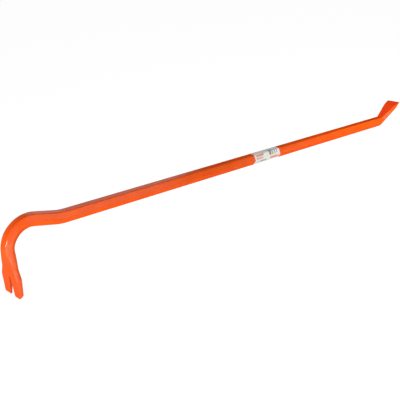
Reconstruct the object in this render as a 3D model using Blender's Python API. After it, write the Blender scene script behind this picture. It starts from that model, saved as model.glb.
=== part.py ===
"""Gooseneck nail puller, a forged wrecking bar, at its real size.

The bar is one forging of hexagonal steel. A slotted claw hangs from a gooseneck at one end and a
chisel blade turns up at the other. A printed film label is wrapped round the shank. The bar stands
as it does on a shelf edge or a floor: on its two claw tips and on the heel under the chisel.

Metres, +Z up, +X from the hook to the chisel. The bar is drawn in its own plane first, with the
shank along X and the claw pointing down, and a parent empty then leans it into its stance. The
claw is the last stretch of the bar; distances along it run from the end of the hook's bend.
"""

import math
from dataclasses import dataclass

import bmesh
import bpy
import numpy as np
from mathutils import Matrix, Vector

MM = 0.001

# Hexagonal stock
ACROSS_FLATS = 19.0 * MM
STOCK_CORNER_RADIUS = 2.2 * MM
STOCK_ROLL = math.radians(8.0)
OVERALL_LENGTH = 1000.0 * MM

# Gooseneck, from the shank to the claw
NECK_RISE_ANGLE = math.radians(12.0)
NECK_RADIUS = 90.0 * MM
NECK_STRAIGHT = 33.6 * MM
HOOK_RADIUS = 37.4 * MM
HOOK_DRAWN_DOWN = 0.96
CLAW_LEAN = math.radians(2.6)

# Claw
CLAW_LENGTH = 65.8 * MM
CLAW_FLATTENED_AT = 22.0 * MM
CLAW_SHOULDER_AT = 36.4 * MM
CLAW_SHOULDER_WIDTH = 45.6 * MM
CLAW_TIP_WIDTH = 44.6 * MM
CLAW_TIP_CHAMFER = 1.4 * MM
CLAW_ROOT_THICKNESS = 9.6 * MM
CLAW_TIP_THICKNESS = 6.3 * MM
CLAW_TIP_BEVEL = 3.6 * MM
CLAW_CORNER_RADIUS = 1.2 * MM
SLOT_LENGTH = 31.0 * MM
SLOT_MOUTH = 11.2 * MM
SLOT_ROOT_RADIUS = 1.5 * MM
SLOT_OFFSET = -1.4 * MM
SLOT_EDGE_AT_MOUTH = 1.8 * MM
SLOT_EDGE_AT_ROOT = 4.5 * MM
SLOT_RELIEF_ANGLE = math.radians(25.0)
SLOT_RELIEF_RUNOUT = 10.0 * MM

# Chisel
CHISEL_ANGLE = math.radians(33.3)
CHISEL_BEND_RADIUS = 18.0 * MM
BLADE_LENGTH = 61.7 * MM
BLADE_FLATTENED_AT = 6.0 * MM
BLADE_BEVEL = 16.0 * MM
BLADE_ROOT_THICKNESS = 13.2 * MM
BLADE_END_THICKNESS = 8.2 * MM
BLADE_EDGE_THICKNESS = 1.2 * MM
BLADE_ROOT_WIDTH = 12.4 * MM
BLADE_BEVEL_WIDTH = 29.2 * MM
BLADE_EDGE_WIDTH = 31.4 * MM
BLADE_CORNER_RADIUS = 1.0 * MM
EDGE_CORNER_RADIUS = 0.3 * MM

# Slight crown left on the forged sides of the claw and the blade
SIDE_CROWN = 0.6 * MM

# Wrapped label
LABEL_LENGTH = 73.0 * MM
LABEL_FROM_NECK = 404.8 * MM
LABEL_THICKNESS = 0.2 * MM
LABEL_CLEARANCE = 0.3 * MM

# Fineness of the faceted surfaces
CORNER_STEPS = 4
DEGREES_PER_RING = 5.0
CLAW_RINGS = 6
SLOT_ROOT_STEPS = 8
CUTTER_OVERRUN = 6.0 * MM
SHARP_FROM_ANGLE = math.radians(22.5)

# The most of an edge that the rounding of one of its corners takes up
EDGE_SHARE = 0.45

PAINT_ORANGE = (0.80, 0.09, 0.012, 1.0)
PAINT_ROUGHNESS = 0.35
LABEL_WHITE = (0.78, 0.78, 0.76, 1.0)
FILM_ROUGHNESS = 0.5


@dataclass(frozen=True)
class Section:
    """A six-cornered section across the bar.

    upper and lower are the distances from the path to the two flats, flat is half the width of
    those flats, middle is half the width across the two side corners.
    """

    upper: float
    lower: float
    flat: float
    middle: float
    radius: float
    roll: float


@dataclass(frozen=True)
class Station:
    """A place along the path: x and z, the heading of the path there, and the section."""

    x: float
    z: float
    heading: float
    section: Section


def stock_section(grow=0.0, drawn=1.0):
    """The hexagon of the stock, grown outwards all round or drawn down to a share of its size."""
    half = drawn * ACROSS_FLATS / 2 + grow
    side = half / math.sqrt(3)
    return Section(half, half, side, 2 * side, drawn * STOCK_CORNER_RADIUS + grow, STOCK_ROLL)


def blend(a, b, t):
    """The value t of the way from a to b."""
    return a + (b - a) * t


def ease_out(t):
    """A curve from 0 to 1 that starts at full slope and ends level."""
    t = min(max(t, 0.0), 1.0)
    return 1 - (1 - t) ** 2


def claw_section(distance):
    """The claw's section at a distance from the end of the hook's bend."""
    stock = stock_section(drawn=HOOK_DRAWN_DOWN)
    widening = min(distance / CLAW_SHOULDER_AT, 1.0)
    narrowing = max(distance - CLAW_SHOULDER_AT, 0.0) / (CLAW_LENGTH - CLAW_SHOULDER_AT)
    chamfer = max(distance - (CLAW_LENGTH - CLAW_TIP_CHAMFER), 0.0)
    half_width = blend(CLAW_SHOULDER_WIDTH, CLAW_TIP_WIDTH, narrowing) / 2 - chamfer
    flattening = min(distance / CLAW_FLATTENED_AT, 1.0)
    if flattening < 1.0:
        thickness = blend(2 * stock.upper, CLAW_ROOT_THICKNESS, ease_out(flattening))
    else:
        taper = (distance - CLAW_FLATTENED_AT) / (CLAW_LENGTH - CLAW_FLATTENED_AT)
        thickness = blend(CLAW_ROOT_THICKNESS, CLAW_TIP_THICKNESS, taper)
    return Section(
        thickness / 2,
        thickness / 2,
        blend(stock.flat, half_width - SIDE_CROWN, widening),
        blend(stock.middle, half_width, widening),
        blend(stock.radius, CLAW_CORNER_RADIUS, widening),
        blend(stock.roll, 0.0, flattening),
    )


def blade_section(distance):
    """The blade's section at a distance from the end of the chisel's bend, negative in the bend."""
    stock = stock_section()
    bevel_start = BLADE_LENGTH - BLADE_BEVEL
    bend_length = CHISEL_BEND_RADIUS * CHISEL_ANGLE
    flattening = ease_out((distance + bend_length) / (BLADE_FLATTENED_AT + bend_length))
    if distance <= bevel_start:
        widening = max(distance, 0.0) / bevel_start
        opening = min((distance + bend_length) / bend_length, 1.0)
        root_flat = blend(stock.flat, BLADE_ROOT_WIDTH / 2, opening)
        flat = blend(root_flat, BLADE_BEVEL_WIDTH / 2 - SIDE_CROWN, widening)
        middle = blend(stock.middle, BLADE_BEVEL_WIDTH / 2, widening)
        tapering = max(distance - BLADE_FLATTENED_AT, 0.0) / (bevel_start - BLADE_FLATTENED_AT)
        thickness = blend(BLADE_ROOT_THICKNESS, BLADE_END_THICKNESS, tapering)
        radius = blend(stock.radius, BLADE_CORNER_RADIUS, flattening)
    else:
        sharpening = (distance - bevel_start) / BLADE_BEVEL
        middle = blend(BLADE_BEVEL_WIDTH, BLADE_EDGE_WIDTH, sharpening) / 2
        flat = middle - SIDE_CROWN
        thickness = blend(BLADE_END_THICKNESS, BLADE_EDGE_THICKNESS, sharpening)
        radius = blend(BLADE_CORNER_RADIUS, EDGE_CORNER_RADIUS, sharpening)
    half = blend(stock.upper, thickness / 2, flattening)
    return Section(half, half, flat, middle, radius, blend(stock.roll, 0.0, flattening))


def walk(x, z, heading, length, turn):
    """Where a path that starts at x, z gets to after a straight or circular run."""
    if turn == 0.0:
        return x + length * math.cos(heading), z + length * math.sin(heading), heading
    radius = length / turn
    end = heading + turn
    x_end = x + radius * (math.sin(end) - math.sin(heading))
    z_end = z - radius * (math.cos(end) - math.cos(heading))
    return x_end, z_end, end


def run_stations(start, length, turn, distances, section_at):
    """Stations at the given distances along one run of the path."""
    stations = []
    for distance in distances:
        share = distance / length
        x, z, heading = walk(*start, distance, turn * share)
        stations.append(Station(x, z, heading, section_at(distance)))
    return stations, walk(*start, length, turn)


def even(length, count):
    """Distances from the start of a run to its end, with the end left to the next run."""
    return [length * index / count for index in range(count)]


def rings_for(turn):
    """How many rings a bend of this many radians takes."""
    return max(int(round(abs(math.degrees(turn)) / DEGREES_PER_RING)), 2)


def bar_stations():
    """All stations from the claw tips to the chisel's edge, with the shank along X at z = 0."""
    stock = stock_section()
    stations = []

    claw_marks = even(CLAW_FLATTENED_AT, CLAW_RINGS)[1:]
    claw_marks += [CLAW_FLATTENED_AT, CLAW_SHOULDER_AT, CLAW_LENGTH - CLAW_TIP_CHAMFER, CLAW_LENGTH]
    claw_distances = [CLAW_LENGTH - mark for mark in sorted(claw_marks, reverse=True)]
    place = (0.0, 0.0, math.pi / 2 + CLAW_LEAN)
    found, place = run_stations(
        place, CLAW_LENGTH, 0.0, claw_distances, lambda d: claw_section(CLAW_LENGTH - d)
    )
    stations += found

    hook_turn = -(math.pi / 2 + CLAW_LEAN + NECK_RISE_ANGLE)
    hook_length = HOOK_RADIUS * abs(hook_turn)
    distances = even(hook_length, rings_for(hook_turn))
    found, place = run_stations(
        place,
        hook_length,
        hook_turn,
        distances,
        lambda d: stock_section(drawn=blend(HOOK_DRAWN_DOWN, 1.0, d / hook_length)),
    )
    stations += found

    found, place = run_stations(place, NECK_STRAIGHT, 0.0, [0.0], lambda d: stock)
    stations += found
    neck_length = NECK_RADIUS * NECK_RISE_ANGLE
    distances = even(neck_length, rings_for(NECK_RISE_ANGLE))
    found, place = run_stations(place, neck_length, NECK_RISE_ANGLE, distances, lambda d: stock)
    stations += found

    stations = [Station(s.x - place[0], s.z - place[1], s.heading, s.section) for s in stations]
    place = (0.0, 0.0, 0.0)
    shank_length = straight_length(stations)
    found, place = run_stations(place, shank_length, 0.0, [0.0], lambda d: stock)
    stations += found

    bend_length = CHISEL_BEND_RADIUS * CHISEL_ANGLE
    distances = even(bend_length, rings_for(CHISEL_ANGLE))
    found, place = run_stations(
        place, bend_length, CHISEL_ANGLE, distances, lambda d: blade_section(d - bend_length)
    )
    stations += found

    blade_marks = [0.0, BLADE_FLATTENED_AT / 2, BLADE_FLATTENED_AT]
    blade_marks += [BLADE_LENGTH - BLADE_BEVEL, BLADE_LENGTH]
    found, place = run_stations(place, BLADE_LENGTH, 0.0, sorted(blade_marks), blade_section)
    stations += found
    return stations


def straight_length(hook_stations):
    """The straight shank that brings the bar to its overall length, hook face to chisel edge."""
    hook_reach = max(-s.x + s.section.upper * math.sin(s.heading) for s in hook_stations)
    bend_reach = CHISEL_BEND_RADIUS * math.sin(CHISEL_ANGLE)
    blade_reach = BLADE_LENGTH * math.cos(CHISEL_ANGLE)
    return OVERALL_LENGTH - hook_reach - bend_reach - blade_reach


def rounded(corners, radius, steps):
    """A closed outline with each corner of a convex polygon turned on an arc of steps points."""
    count = len(corners)
    points = []
    for index in range(count):
        corner = np.array(corners[index])
        before = np.array(corners[index - 1]) - corner
        after = np.array(corners[(index + 1) % count]) - corner
        shortest = min(np.linalg.norm(before), np.linalg.norm(after))
        before /= np.linalg.norm(before)
        after /= np.linalg.norm(after)
        half_turn = (math.pi - math.acos(np.clip(before @ after, -1.0, 1.0))) / 2
        tangent = min(radius * math.tan(half_turn), EDGE_SHARE * shortest)
        arc_radius = tangent / math.tan(half_turn)
        inward = (before + after) / np.linalg.norm(before + after)
        centre = corner + inward * arc_radius / math.cos(half_turn)
        across = (after - before) / np.linalg.norm(after - before)
        for step in range(steps):
            angle = blend(-half_turn, half_turn, step / (steps - 1))
            arc = across * math.sin(angle) - inward * math.cos(angle)
            points.append(centre + arc * arc_radius)
    return points


def outline(section):
    """The section's outline as across and out distances, anticlockwise seen from the chisel end."""
    side = (section.upper - section.lower) / 2
    corners = [
        (-section.flat, section.upper),
        (-section.middle, side),
        (-section.flat, -section.lower),
        (section.flat, -section.lower),
        (section.middle, side),
        (section.flat, section.upper),
    ]
    cosine = math.cos(section.roll)
    sine = math.sin(section.roll)
    turn = np.array([[cosine, -sine], [sine, cosine]])
    return [turn @ point for point in rounded(corners, section.radius, CORNER_STEPS)]


def ring_points(station, tip_bevel=0.0):
    """The ring of points at a station; a bevel pulls the under side back along the path."""
    forward = Vector((math.cos(station.heading), 0.0, math.sin(station.heading)))
    out = Vector((-math.sin(station.heading), 0.0, math.cos(station.heading)))
    centre = Vector((station.x, 0.0, station.z))
    thickness = station.section.upper + station.section.lower
    ring = []
    for across, height in outline(station.section):
        pull = tip_bevel * (station.section.upper - height) / thickness
        ring.append(centre + Vector((0.0, across, 0.0)) + out * height + forward * pull)
    return ring


def skin(mesh_name, rings, closed_loop=False):
    """A mesh through a row of rings, capped at both ends or joined back to its first ring."""
    shape = bmesh.new()
    loops = [[shape.verts.new(point) for point in ring] for ring in rings]
    pairs = list(zip(loops, loops[1:]))
    if closed_loop:
        pairs.append((loops[-1], loops[0]))
    for first, second in pairs:
        count = len(first)
        for index in range(count):
            after = (index + 1) % count
            shape.faces.new((first[index], first[after], second[after], second[index]))
    if not closed_loop:
        shape.faces.new(loops[0])
        shape.faces.new(loops[-1])
    bmesh.ops.recalc_face_normals(shape, faces=shape.faces)
    mesh = bpy.data.meshes.new(mesh_name)
    shape.to_mesh(mesh)
    shape.free()
    return mesh


def add_object(name, mesh, parent):
    """An object in the scene, hung from the stance."""
    thing = bpy.data.objects.new(name, mesh)
    bpy.context.scene.collection.objects.link(thing)
    thing.parent = parent
    return thing


def finish(thing, material):
    """Gives an object its material, shaded smooth over its rounded corners."""
    thing.data.materials.clear()
    thing.data.materials.append(material)
    thing.data.shade_smooth()
    thing.data.set_sharp_from_angle(angle=SHARP_FROM_ANGLE)


def painted(name, colour, roughness, metallic=0.0):
    """A plain Principled material."""
    material = bpy.data.materials.new(name)
    material.use_nodes = True
    shader = material.node_tree.nodes["Principled BSDF"]
    shader.inputs["Base Color"].default_value = colour
    shader.inputs["Roughness"].default_value = roughness
    shader.inputs["Metallic"].default_value = metallic
    return material


def slot_outline():
    """The nail slot seen square to the claw: across, and up from the tips, flanks on a round root."""
    half_mouth = SLOT_MOUTH / 2
    centre_up = SLOT_LENGTH - SLOT_ROOT_RADIUS
    reach = math.hypot(half_mouth, centre_up)
    flank = math.atan2(half_mouth, centre_up) - math.asin(SLOT_ROOT_RADIUS / reach)
    spread = math.pi / 2 - flank
    overrun = half_mouth + CUTTER_OVERRUN * math.tan(flank)
    points = [(-overrun, -CUTTER_OVERRUN)]
    for step in range(SLOT_ROOT_STEPS + 1):
        angle = blend(-spread, spread, step / SLOT_ROOT_STEPS)
        points.append((SLOT_ROOT_RADIUS * math.sin(angle), centre_up + SLOT_ROOT_RADIUS * math.cos(angle)))
    points.append((overrun, -CUTTER_OVERRUN))
    return points


def relief_rings():
    """Three triangles of the relief behind the slot: past the tips, at the root, and at its run-out.

    Each is given as inward, across and up from the tips. The relief thins the claw from behind, so
    that only a narrow edge stands along the slot.
    """
    slope = math.tan(SLOT_RELIEF_ANGLE)
    back = CLAW_ROOT_THICKNESS / 2 + CUTTER_OVERRUN
    ridges = []
    for up, edge, half_slot in (
        (0.0, SLOT_EDGE_AT_MOUTH, SLOT_MOUTH / 2),
        (SLOT_LENGTH, SLOT_EDGE_AT_ROOT, SLOT_ROOT_RADIUS),
    ):
        face = -claw_section(CLAW_LENGTH - up).upper
        ridges.append((face + edge - slope * half_slot, up))
    (mouth_ridge, _), (root_ridge, _) = ridges
    past_tips = mouth_ridge - (root_ridge - mouth_ridge) * CUTTER_OVERRUN / SLOT_LENGTH
    end_up = SLOT_LENGTH + SLOT_RELIEF_RUNOUT
    end_ridge = claw_section(CLAW_LENGTH - end_up).lower
    rings = []
    for ridge, up in ((past_tips, -CUTTER_OVERRUN), (root_ridge, SLOT_LENGTH), (end_ridge, end_up)):
        half_width = (back - ridge) / slope
        corners = [(ridge, 0.0), (back, half_width), (back, -half_width)]
        rings.append([Vector((inward, across, up)) for inward, across in corners])
    return rings


def carve(body, name, rings, tip):
    """Cuts a shape out of the claw; the shape is given from the tips and leans with the claw."""
    cutter = add_object(name, skin(name, rings), body.parent)
    cutter.location = (tip.x, SLOT_OFFSET, tip.z)
    cutter.rotation_euler = (0.0, math.pi / 2 - tip.heading, 0.0)
    cut = body.modifiers.new(name, "BOOLEAN")
    cut.operation = "DIFFERENCE"
    cut.solver = "EXACT"
    cut.object = cutter
    bpy.context.view_layer.update()
    carved = bpy.data.meshes.new_from_object(body.evaluated_get(bpy.context.evaluated_depsgraph_get()))
    body.modifiers.remove(cut)
    body.data = carved
    body.data.name = body.name
    bpy.data.objects.remove(cutter, do_unlink=True)


def add_forged_bar(stations, material, parent):
    """The whole forging, swept along its path, with the nail slot and its relief cut in the claw."""
    rings = [ring_points(station, tip_bevel=CLAW_TIP_BEVEL) for station in stations[:2]]
    rings += [ring_points(station) for station in stations[2:]]
    bar = add_object("forged_bar", skin("forged_bar", rings), parent)
    half_depth = CLAW_ROOT_THICKNESS / 2 + CUTTER_OVERRUN
    slot_rings = []
    for inward in (-half_depth, half_depth):
        slot_rings.append([Vector((inward, across, up)) for across, up in slot_outline()])
    carve(bar, "slot_cutter", slot_rings, stations[0])
    carve(bar, "relief_cutter", relief_rings(), stations[0])
    finish(bar, material)
    return rings


def add_wrap_label(material, parent):
    """The film label, a thin sleeve that follows the hexagon all the way round."""
    inner = stock_section(grow=LABEL_CLEARANCE)
    outer = stock_section(grow=LABEL_CLEARANCE + LABEL_THICKNESS)
    ends = (LABEL_FROM_NECK, LABEL_FROM_NECK + LABEL_LENGTH)
    path = [(ends[0], inner), (ends[0], outer), (ends[1], outer), (ends[1], inner)]
    rings = [ring_points(Station(x, 0.0, 0.0, section)) for x, section in path]
    finish(add_object("wrap_label", skin("wrap_label", rings, closed_loop=True), parent), material)


def lean_into_stance(rings, stance):
    """Turns and lifts the bar so that the claw tips and the chisel's heel touch z = 0."""
    points = np.array([tuple(point) for ring in rings for point in ring])
    tip = points[np.argmin(points[:, 2])]
    far_half = points[points[:, 0] > points[:, 0].mean()]
    slopes = np.arctan2(far_half[:, 2] - tip[2], far_half[:, 0] - tip[0])
    lean = float(slopes.min())
    turn = Matrix.Rotation(lean, 3, "Y")
    turned = points @ np.array(turn).T
    low = turned.min(axis=0)
    high = turned.max(axis=0)
    stance.rotation_euler = (0.0, lean, 0.0)
    stance.location = (-(low[0] + high[0]) / 2, -(low[1] + high[1]) / 2, -low[2])


def clear_scene():
    """Removes what the scene holds."""
    for thing in list(bpy.data.objects):
        bpy.data.objects.remove(thing, do_unlink=True)


def main():
    """Builds the bar and its label and stands them up."""
    clear_scene()
    stance = bpy.data.objects.new("stance", None)
    bpy.context.scene.collection.objects.link(stance)
    paint = painted("orange_paint", PAINT_ORANGE, PAINT_ROUGHNESS)
    film = painted("label_film", LABEL_WHITE, FILM_ROUGHNESS)
    rings = add_forged_bar(bar_stations(), paint, stance)
    add_wrap_label(film, stance)
    lean_into_stance(rings, stance)


main()
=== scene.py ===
"""Looks of a gooseneck nail puller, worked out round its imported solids.

The bar is one forging of hexagonal steel under a glossy orange paint: a slotted claw, a tight hook,
a gooseneck, a long shank and an upturned chisel. A printed film is wrapped once round the shank.

Metres, +Z up, +X from the hook to the chisel, -Y towards the viewer. The bar is worked out in its own
plane first, with the shank along X, and then leaned onto its two claw tips and its heel.
"""

from __future__ import annotations

import logging
import math
from dataclasses import dataclass, field, replace
from enum import Enum
from functools import cached_property, reduce
from typing import Union

import bmesh
import bpy
import numpy as np
from mathutils import Matrix, Vector

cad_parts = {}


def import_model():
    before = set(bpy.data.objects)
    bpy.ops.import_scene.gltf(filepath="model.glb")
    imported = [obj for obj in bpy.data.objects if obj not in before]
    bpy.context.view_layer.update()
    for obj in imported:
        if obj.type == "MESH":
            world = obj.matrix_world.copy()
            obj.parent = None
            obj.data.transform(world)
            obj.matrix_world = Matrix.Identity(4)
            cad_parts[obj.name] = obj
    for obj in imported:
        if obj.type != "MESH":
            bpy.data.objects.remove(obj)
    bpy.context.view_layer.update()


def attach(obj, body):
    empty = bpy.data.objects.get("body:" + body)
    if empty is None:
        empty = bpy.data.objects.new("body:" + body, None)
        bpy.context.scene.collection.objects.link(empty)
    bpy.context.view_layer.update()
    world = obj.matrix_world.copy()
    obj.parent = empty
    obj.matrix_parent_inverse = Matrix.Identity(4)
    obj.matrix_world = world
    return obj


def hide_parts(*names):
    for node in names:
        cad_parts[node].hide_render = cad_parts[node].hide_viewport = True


LOG = logging.getLogger("nail_puller")
MM = 0.001
PHOTO_WIDTH = 400
SENSOR_WIDTH = 36.0
PRINT_MAP = "print"

Number = Union[float, np.ndarray]
Span = tuple[float, float]
Place = tuple[float, float, float]
Colour = tuple[float, float, float, float]
Socket = bpy.types.NodeSocket
Feed = Union[Socket, float, Place, Colour]
Feeds = dict[Union[str, int], Feed]


class Side(Enum):
    """The two broad faces of the claw: the one that shows on the hook's outside, and the other."""

    OUTER = 1
    INNER = -1


def blend(start: Number, end: Number, share: Number) -> Number:
    """The value a share of the way from start to end."""
    return start + (end - start) * share


def unit(vectors: np.ndarray) -> np.ndarray:
    """The vectors, each divided by its length."""
    return vectors / np.linalg.norm(vectors, axis=-1, keepdims=True)


def ease_out(share: np.ndarray) -> np.ndarray:
    """One less the square of what is left: a curve from 0 to 1 that ends level."""
    return 1.0 - (1.0 - np.clip(share, 0.0, 1.0)) ** 2


def round_over(distance: np.ndarray, radius: float) -> np.ndarray:
    """How far a rounded edge falls back: its radius less the height of a quarter circle."""
    left = np.clip(radius - distance, 0.0, radius)
    return radius - np.sqrt(radius**2 - left**2)


def soft_ramp(distance: np.ndarray, width: float) -> np.ndarray:
    """Nothing before the start and the distance after it, joined by a parabola a width to each side."""
    rising = (np.clip(distance, -width, width) + width) ** 2 / (4.0 * width)
    return np.where(distance > width, distance, rising)


def smooth_step(share: np.ndarray) -> np.ndarray:
    """Three shares squared less two shares cubed: a rise from 0 to 1 that is level at both ends."""
    held = np.clip(share, 0.0, 1.0)
    return held * held * (3.0 - 2.0 * held)


def soft_minimum(first: np.ndarray, second: np.ndarray, width: float) -> np.ndarray:
    """The smaller of two heights, less a parabola where they differ by less than the width."""
    overlap = np.clip(width - np.abs(first - second), 0.0, None)
    return np.minimum(first, second) - overlap**2 / (4.0 * width)


def chord(heading: Number, bend: Number, step: Number) -> np.ndarray:
    """Where a step along a line or a circle leads.

    The chord is as long as the step times the sine of half the turn over that half turn, and heads
    midway between the step's first and last heading.

    Args:
        heading: the heading at its start.
        bend: the turn in each metre, nothing on a straight line.
        step: its length.

    Returns:
        How far it leads along X and along Z.
    """
    half_turn = bend * step / 2
    middle = heading + half_turn
    return step * np.sinc(half_turn / math.pi) * np.stack([np.cos(middle), np.sin(middle)])


@dataclass(frozen=True)
class Sections:
    """Six-cornered sections across the bar, one for each station of an array.

    half is the distance from the path to each of the two flats, flat is half the width of those
    flats, and middle is half the width across the two side corners.
    """

    half: np.ndarray
    flat: np.ndarray
    middle: np.ndarray
    radius: np.ndarray
    roll: np.ndarray

    # The most of an edge that the rounding of one corner takes up
    EDGE_SHARE = 0.45

    def shrunk(self, inset: np.ndarray) -> Sections:
        """The same sections drawn in all round by an inset at each station."""
        half, flat, middle = self.half - inset, self.flat - inset, self.middle - inset
        return replace(self, half=half, flat=flat, middle=middle)

    def outline(self, corner_steps: int, flat_points: int) -> np.ndarray:
        """The rounded outlines: each corner turns on an arc tangent to the two edges it joins.

        Args:
            corner_steps: points on each corner's arc.
            flat_points: points along each of the two flats, between the arcs.

        Returns:
            Across and out distances, as stations by points by 2, from the near side's upper corner
            round the near side, the lower flat, the far side and the upper flat.
        """
        half, flat, middle, level = self.half, self.flat, self.middle, 0.0 * self.half
        across = np.stack([-flat, -middle, -flat, flat, middle, flat], axis=1)
        out = np.stack([half, level, -half, -half, level, half], axis=1)
        corners = np.stack([across, out], axis=-1)
        edges = [np.roll(corners, step, axis=1) - corners for step in (1, -1)]
        shorter = np.minimum(*(np.linalg.norm(edge, axis=-1, keepdims=True) for edge in edges))
        before, after = (unit(edge) for edge in edges)
        cosine = np.clip((before * after).sum(axis=-1, keepdims=True), -1.0, 1.0)
        half_turn = (math.pi - np.arccos(cosine)) / 2
        largest = self.EDGE_SHARE * shorter / np.tan(half_turn)
        arc_radius = np.minimum(self.radius[:, None, None], largest)
        inward, along = unit(before + after), unit(after - before)
        centre = corners + inward * arc_radius / np.cos(half_turn)
        angle = half_turn[:, :, None] * np.linspace(-1.0, 1.0, corner_steps)[None, None, :, None]
        arc = along[:, :, None] * np.sin(angle) - inward[:, :, None] * np.cos(angle)
        points = centre[:, :, None] + arc * arc_radius[:, :, None]
        near = points[:, :3].reshape(len(points), -1, 2)
        far = points[:, 3:].reshape(len(points), -1, 2)
        share = (np.arange(flat_points) + 1.0)[None, :, None] / (flat_points + 1)
        lower_flat = blend(near[:, -1:], far[:, :1], share)
        upper_flat = blend(far[:, -1:], near[:, :1], share)
        ring = np.concatenate([near, lower_flat, far, upper_flat], axis=1)
        cosine, sine = np.cos(self.roll)[:, None], np.sin(self.roll)[:, None]
        across = cosine * ring[..., 0] - sine * ring[..., 1]
        out = sine * ring[..., 0] + cosine * ring[..., 1]
        return np.stack([across, out], axis=-1)


@dataclass(frozen=True)
class HexStock:
    """The hexagonal steel that the bar is forged from."""

    across_flats: float = 19.0 * MM
    corner_radius: float = 2.2 * MM
    roll: float = math.radians(8.0)

    @property
    def half(self) -> float:
        """From the middle of the stock to a flat."""
        return self.across_flats / 2

    @property
    def flat(self) -> float:
        """Half the width of one flat."""
        return self.half / math.sqrt(3.0)

    def sections(self, drawn: np.ndarray, grow: float = 0.0) -> Sections:
        """A regular hexagon at each station, drawn down by a share and then grown by a distance.

        Args:
            drawn: the share of its size that it is drawn down to.
            grow: how far it is grown all round.

        Returns:
            The sections.
        """
        half = drawn * self.half + grow
        side = half / math.sqrt(3.0)
        radius = drawn * self.corner_radius + grow
        return Sections(half, side, 2 * side, radius, self.roll + 0.0 * drawn)


@dataclass(frozen=True)
class Claw:
    """The flattened end of the hook. Distances run from the end of the hook's bend."""

    length: float = 65.8 * MM
    flattened_at: float = 22.0 * MM
    shoulder_at: float = 36.4 * MM
    shoulder_width: float = 45.6 * MM
    tip_width: float = 44.6 * MM
    tip_chamfer: float = 1.4 * MM
    root_thickness: float = 9.6 * MM
    tip_thickness: float = 6.3 * MM
    tip_bevel: float = 3.6 * MM
    corner_radius: float = 2.4 * MM
    side_crown: float = 0.6 * MM
    tip_edge_radius: float = 0.35 * MM
    run_in: float = 7.0 * MM

    @property
    def shoulder_up(self) -> float:
        """The height of its shoulders above its tips."""
        return self.length - self.shoulder_at

    @property
    def flattened_up(self) -> float:
        """The height above its tips up to which it is quite flat."""
        return self.length - self.flattened_at

    def half_thickness(self, up: Number) -> Number:
        """Half its thickness at a height above its tips, where it is quite flat."""
        return blend(self.tip_thickness, self.root_thickness, up / self.flattened_up) / 2

    def sections(self, root: Sections, distance: np.ndarray) -> Sections:
        """The claw's section: the stock opens into a wide flat blade and thins towards the tips.

        Widths open in a straight line to the shoulders. The thickness falls on a curve that ends
        level, and then in a straight line. The tips' corners are cut off at 45 degrees.

        Args:
            root: the stock's sections at the same stations.
            distance: distances from the end of the hook's bend, negative in the bend.

        Returns:
            The sections. The opening runs in softly, a little before the bend's end.
        """
        distance = soft_ramp(distance, self.run_in)
        widening = np.minimum(distance / self.shoulder_at, 1.0)
        flattening = np.minimum(distance / self.flattened_at, 1.0)
        width = np.interp(distance, [self.shoulder_at, self.length], [self.shoulder_width, self.tip_width])
        half_width = width / 2 - np.maximum(distance - (self.length - self.tip_chamfer), 0.0)
        flattened = self.half_thickness(np.minimum(self.length - distance, self.flattened_up))
        return Sections(
            blend(root.half, flattened, ease_out(flattening)),
            blend(root.flat, half_width - self.side_crown, widening),
            blend(root.middle, half_width, widening),
            blend(root.radius, self.corner_radius, widening),
            blend(root.roll, 0.0, flattening),
        )


@dataclass(frozen=True)
class Blade:
    """The upturned chisel. Distances run from the end of its bend, and are negative in the bend."""

    angle: float = math.radians(33.3)
    bend_radius: float = 18.0 * MM
    length: float = 61.7 * MM
    flattened_at: float = 6.0 * MM
    bevel: float = 16.0 * MM
    root_thickness: float = 13.2 * MM
    end_thickness: float = 8.2 * MM
    edge_thickness: float = 1.2 * MM
    root_width: float = 12.4 * MM
    bevel_width: float = 29.2 * MM
    edge_width: float = 31.4 * MM
    corner_radius: float = 1.0 * MM
    edge_corner_radius: float = 0.3 * MM
    side_crown: float = 0.6 * MM
    edge_rounding: float = 0.25 * MM

    @property
    def bend_length(self) -> float:
        """The path's length through the bend."""
        return self.bend_radius * self.angle

    @property
    def bevel_start(self) -> float:
        """Where the flat blade ends and its bevels begin."""
        return self.length - self.bevel

    def sections(self, stock: HexStock, distance: np.ndarray) -> Sections:
        """The blade's section: the stock flattens and flares, then both faces bevel to the edge.

        All measures run in straight lines between the stations. Thickness, corners and roll leave the
        stock's along a curve that ends level.

        Args:
            stock: the steel that the blade is forged from.
            distance: distances from the end of its bend, negative in the bend.

        Returns:
            The sections.
        """
        stations = [-self.bend_length, 0.0, self.bevel_start, self.length]
        middles = [2 * stock.flat, 2 * stock.flat, self.bevel_width / 2, self.edge_width / 2]
        flats = [stock.flat, self.root_width / 2, *(middle - self.side_crown for middle in middles[2:])]
        thicknesses = [self.root_thickness, self.end_thickness, self.edge_thickness]
        thickness = np.interp(distance, [self.flattened_at, *stations[2:]], thicknesses)
        radius = np.interp(distance, stations[2:], [self.corner_radius, self.edge_corner_radius])
        flattening = ease_out((distance + self.bend_length) / (self.flattened_at + self.bend_length))
        return Sections(
            blend(stock.half, thickness / 2, flattening),
            np.interp(distance, stations, flats),
            np.interp(distance, stations, middles),
            blend(stock.corner_radius, radius, flattening),
            blend(stock.roll, 0.0, flattening),
        )


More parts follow.
